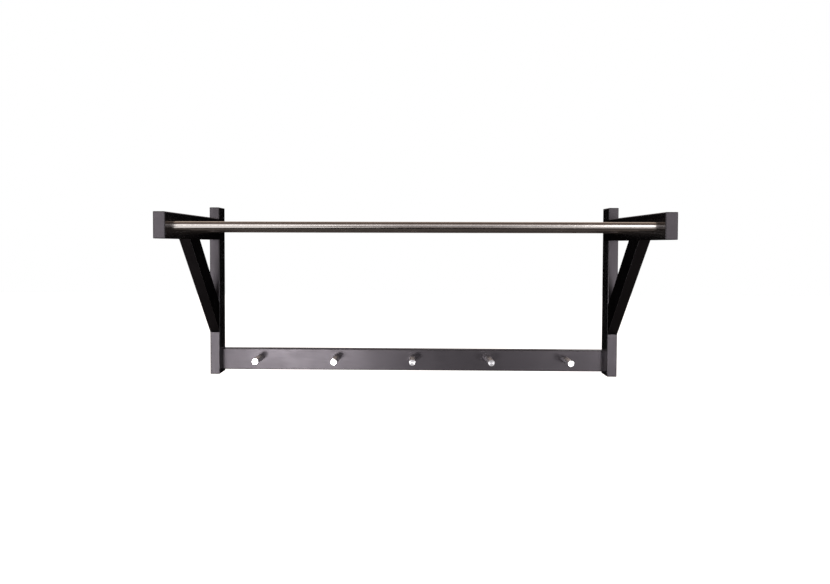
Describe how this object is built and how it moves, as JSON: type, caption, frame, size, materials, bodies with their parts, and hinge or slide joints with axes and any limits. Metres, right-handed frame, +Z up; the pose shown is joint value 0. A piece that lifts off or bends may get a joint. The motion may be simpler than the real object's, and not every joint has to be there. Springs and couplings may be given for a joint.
{
  "type": "saddle rack",
  "caption": "Wall rack for tack: two braced wooden brackets carry a shelf of round steel tubes above a rail of plain round pegs.",
  "frame": {"origin": "on the wall plane, midway between the entry holes of the two keyhole plates", "axes": "+X to the right along the tubes as seen from the front, -Y out of the wall towards the arm tips, +Z up"},
  "size_m": [0.8, 0.345, 0.33],
  "materials": {
    "black_wood": "satin black lacquer, fine grain just showing through",
    "tube_steel": "polished and lightly drawn along the tube",
    "peg_steel": "turned, with a bright faced end",
    "zinc_steel": "bright zinc plated",
    "beech": "raw, fluted dowel stock"
  },
  "bodies": {
    "root": {"left_upright": "black_wood", "right_upright": "black_wood", "left_arm": "black_wood", "right_arm": "black_wood", "left_brace": "black_wood", "right_brace": "black_wood", "peg_rail": "black_wood", "shelf_tube_1": "tube_steel", "shelf_tube_2": "tube_steel", "shelf_tube_3": "tube_steel", "shelf_tube_4": "tube_steel", "peg_1": "peg_steel", "peg_2": "peg_steel", "peg_3": "peg_steel", "peg_4": "peg_steel", "peg_5": "peg_steel", "peg_screws": "zinc_steel", "rail_screws": "zinc_steel", "rail_dowels": "beech", "brace_dowels": "beech", "tube_plugs": "zinc_steel", "tube_screws": "zinc_steel", "left_hanger_plate": "zinc_steel", "right_hanger_plate": "zinc_steel", "hanger_screws": "zinc_steel"}
  },
  "joints": []
}
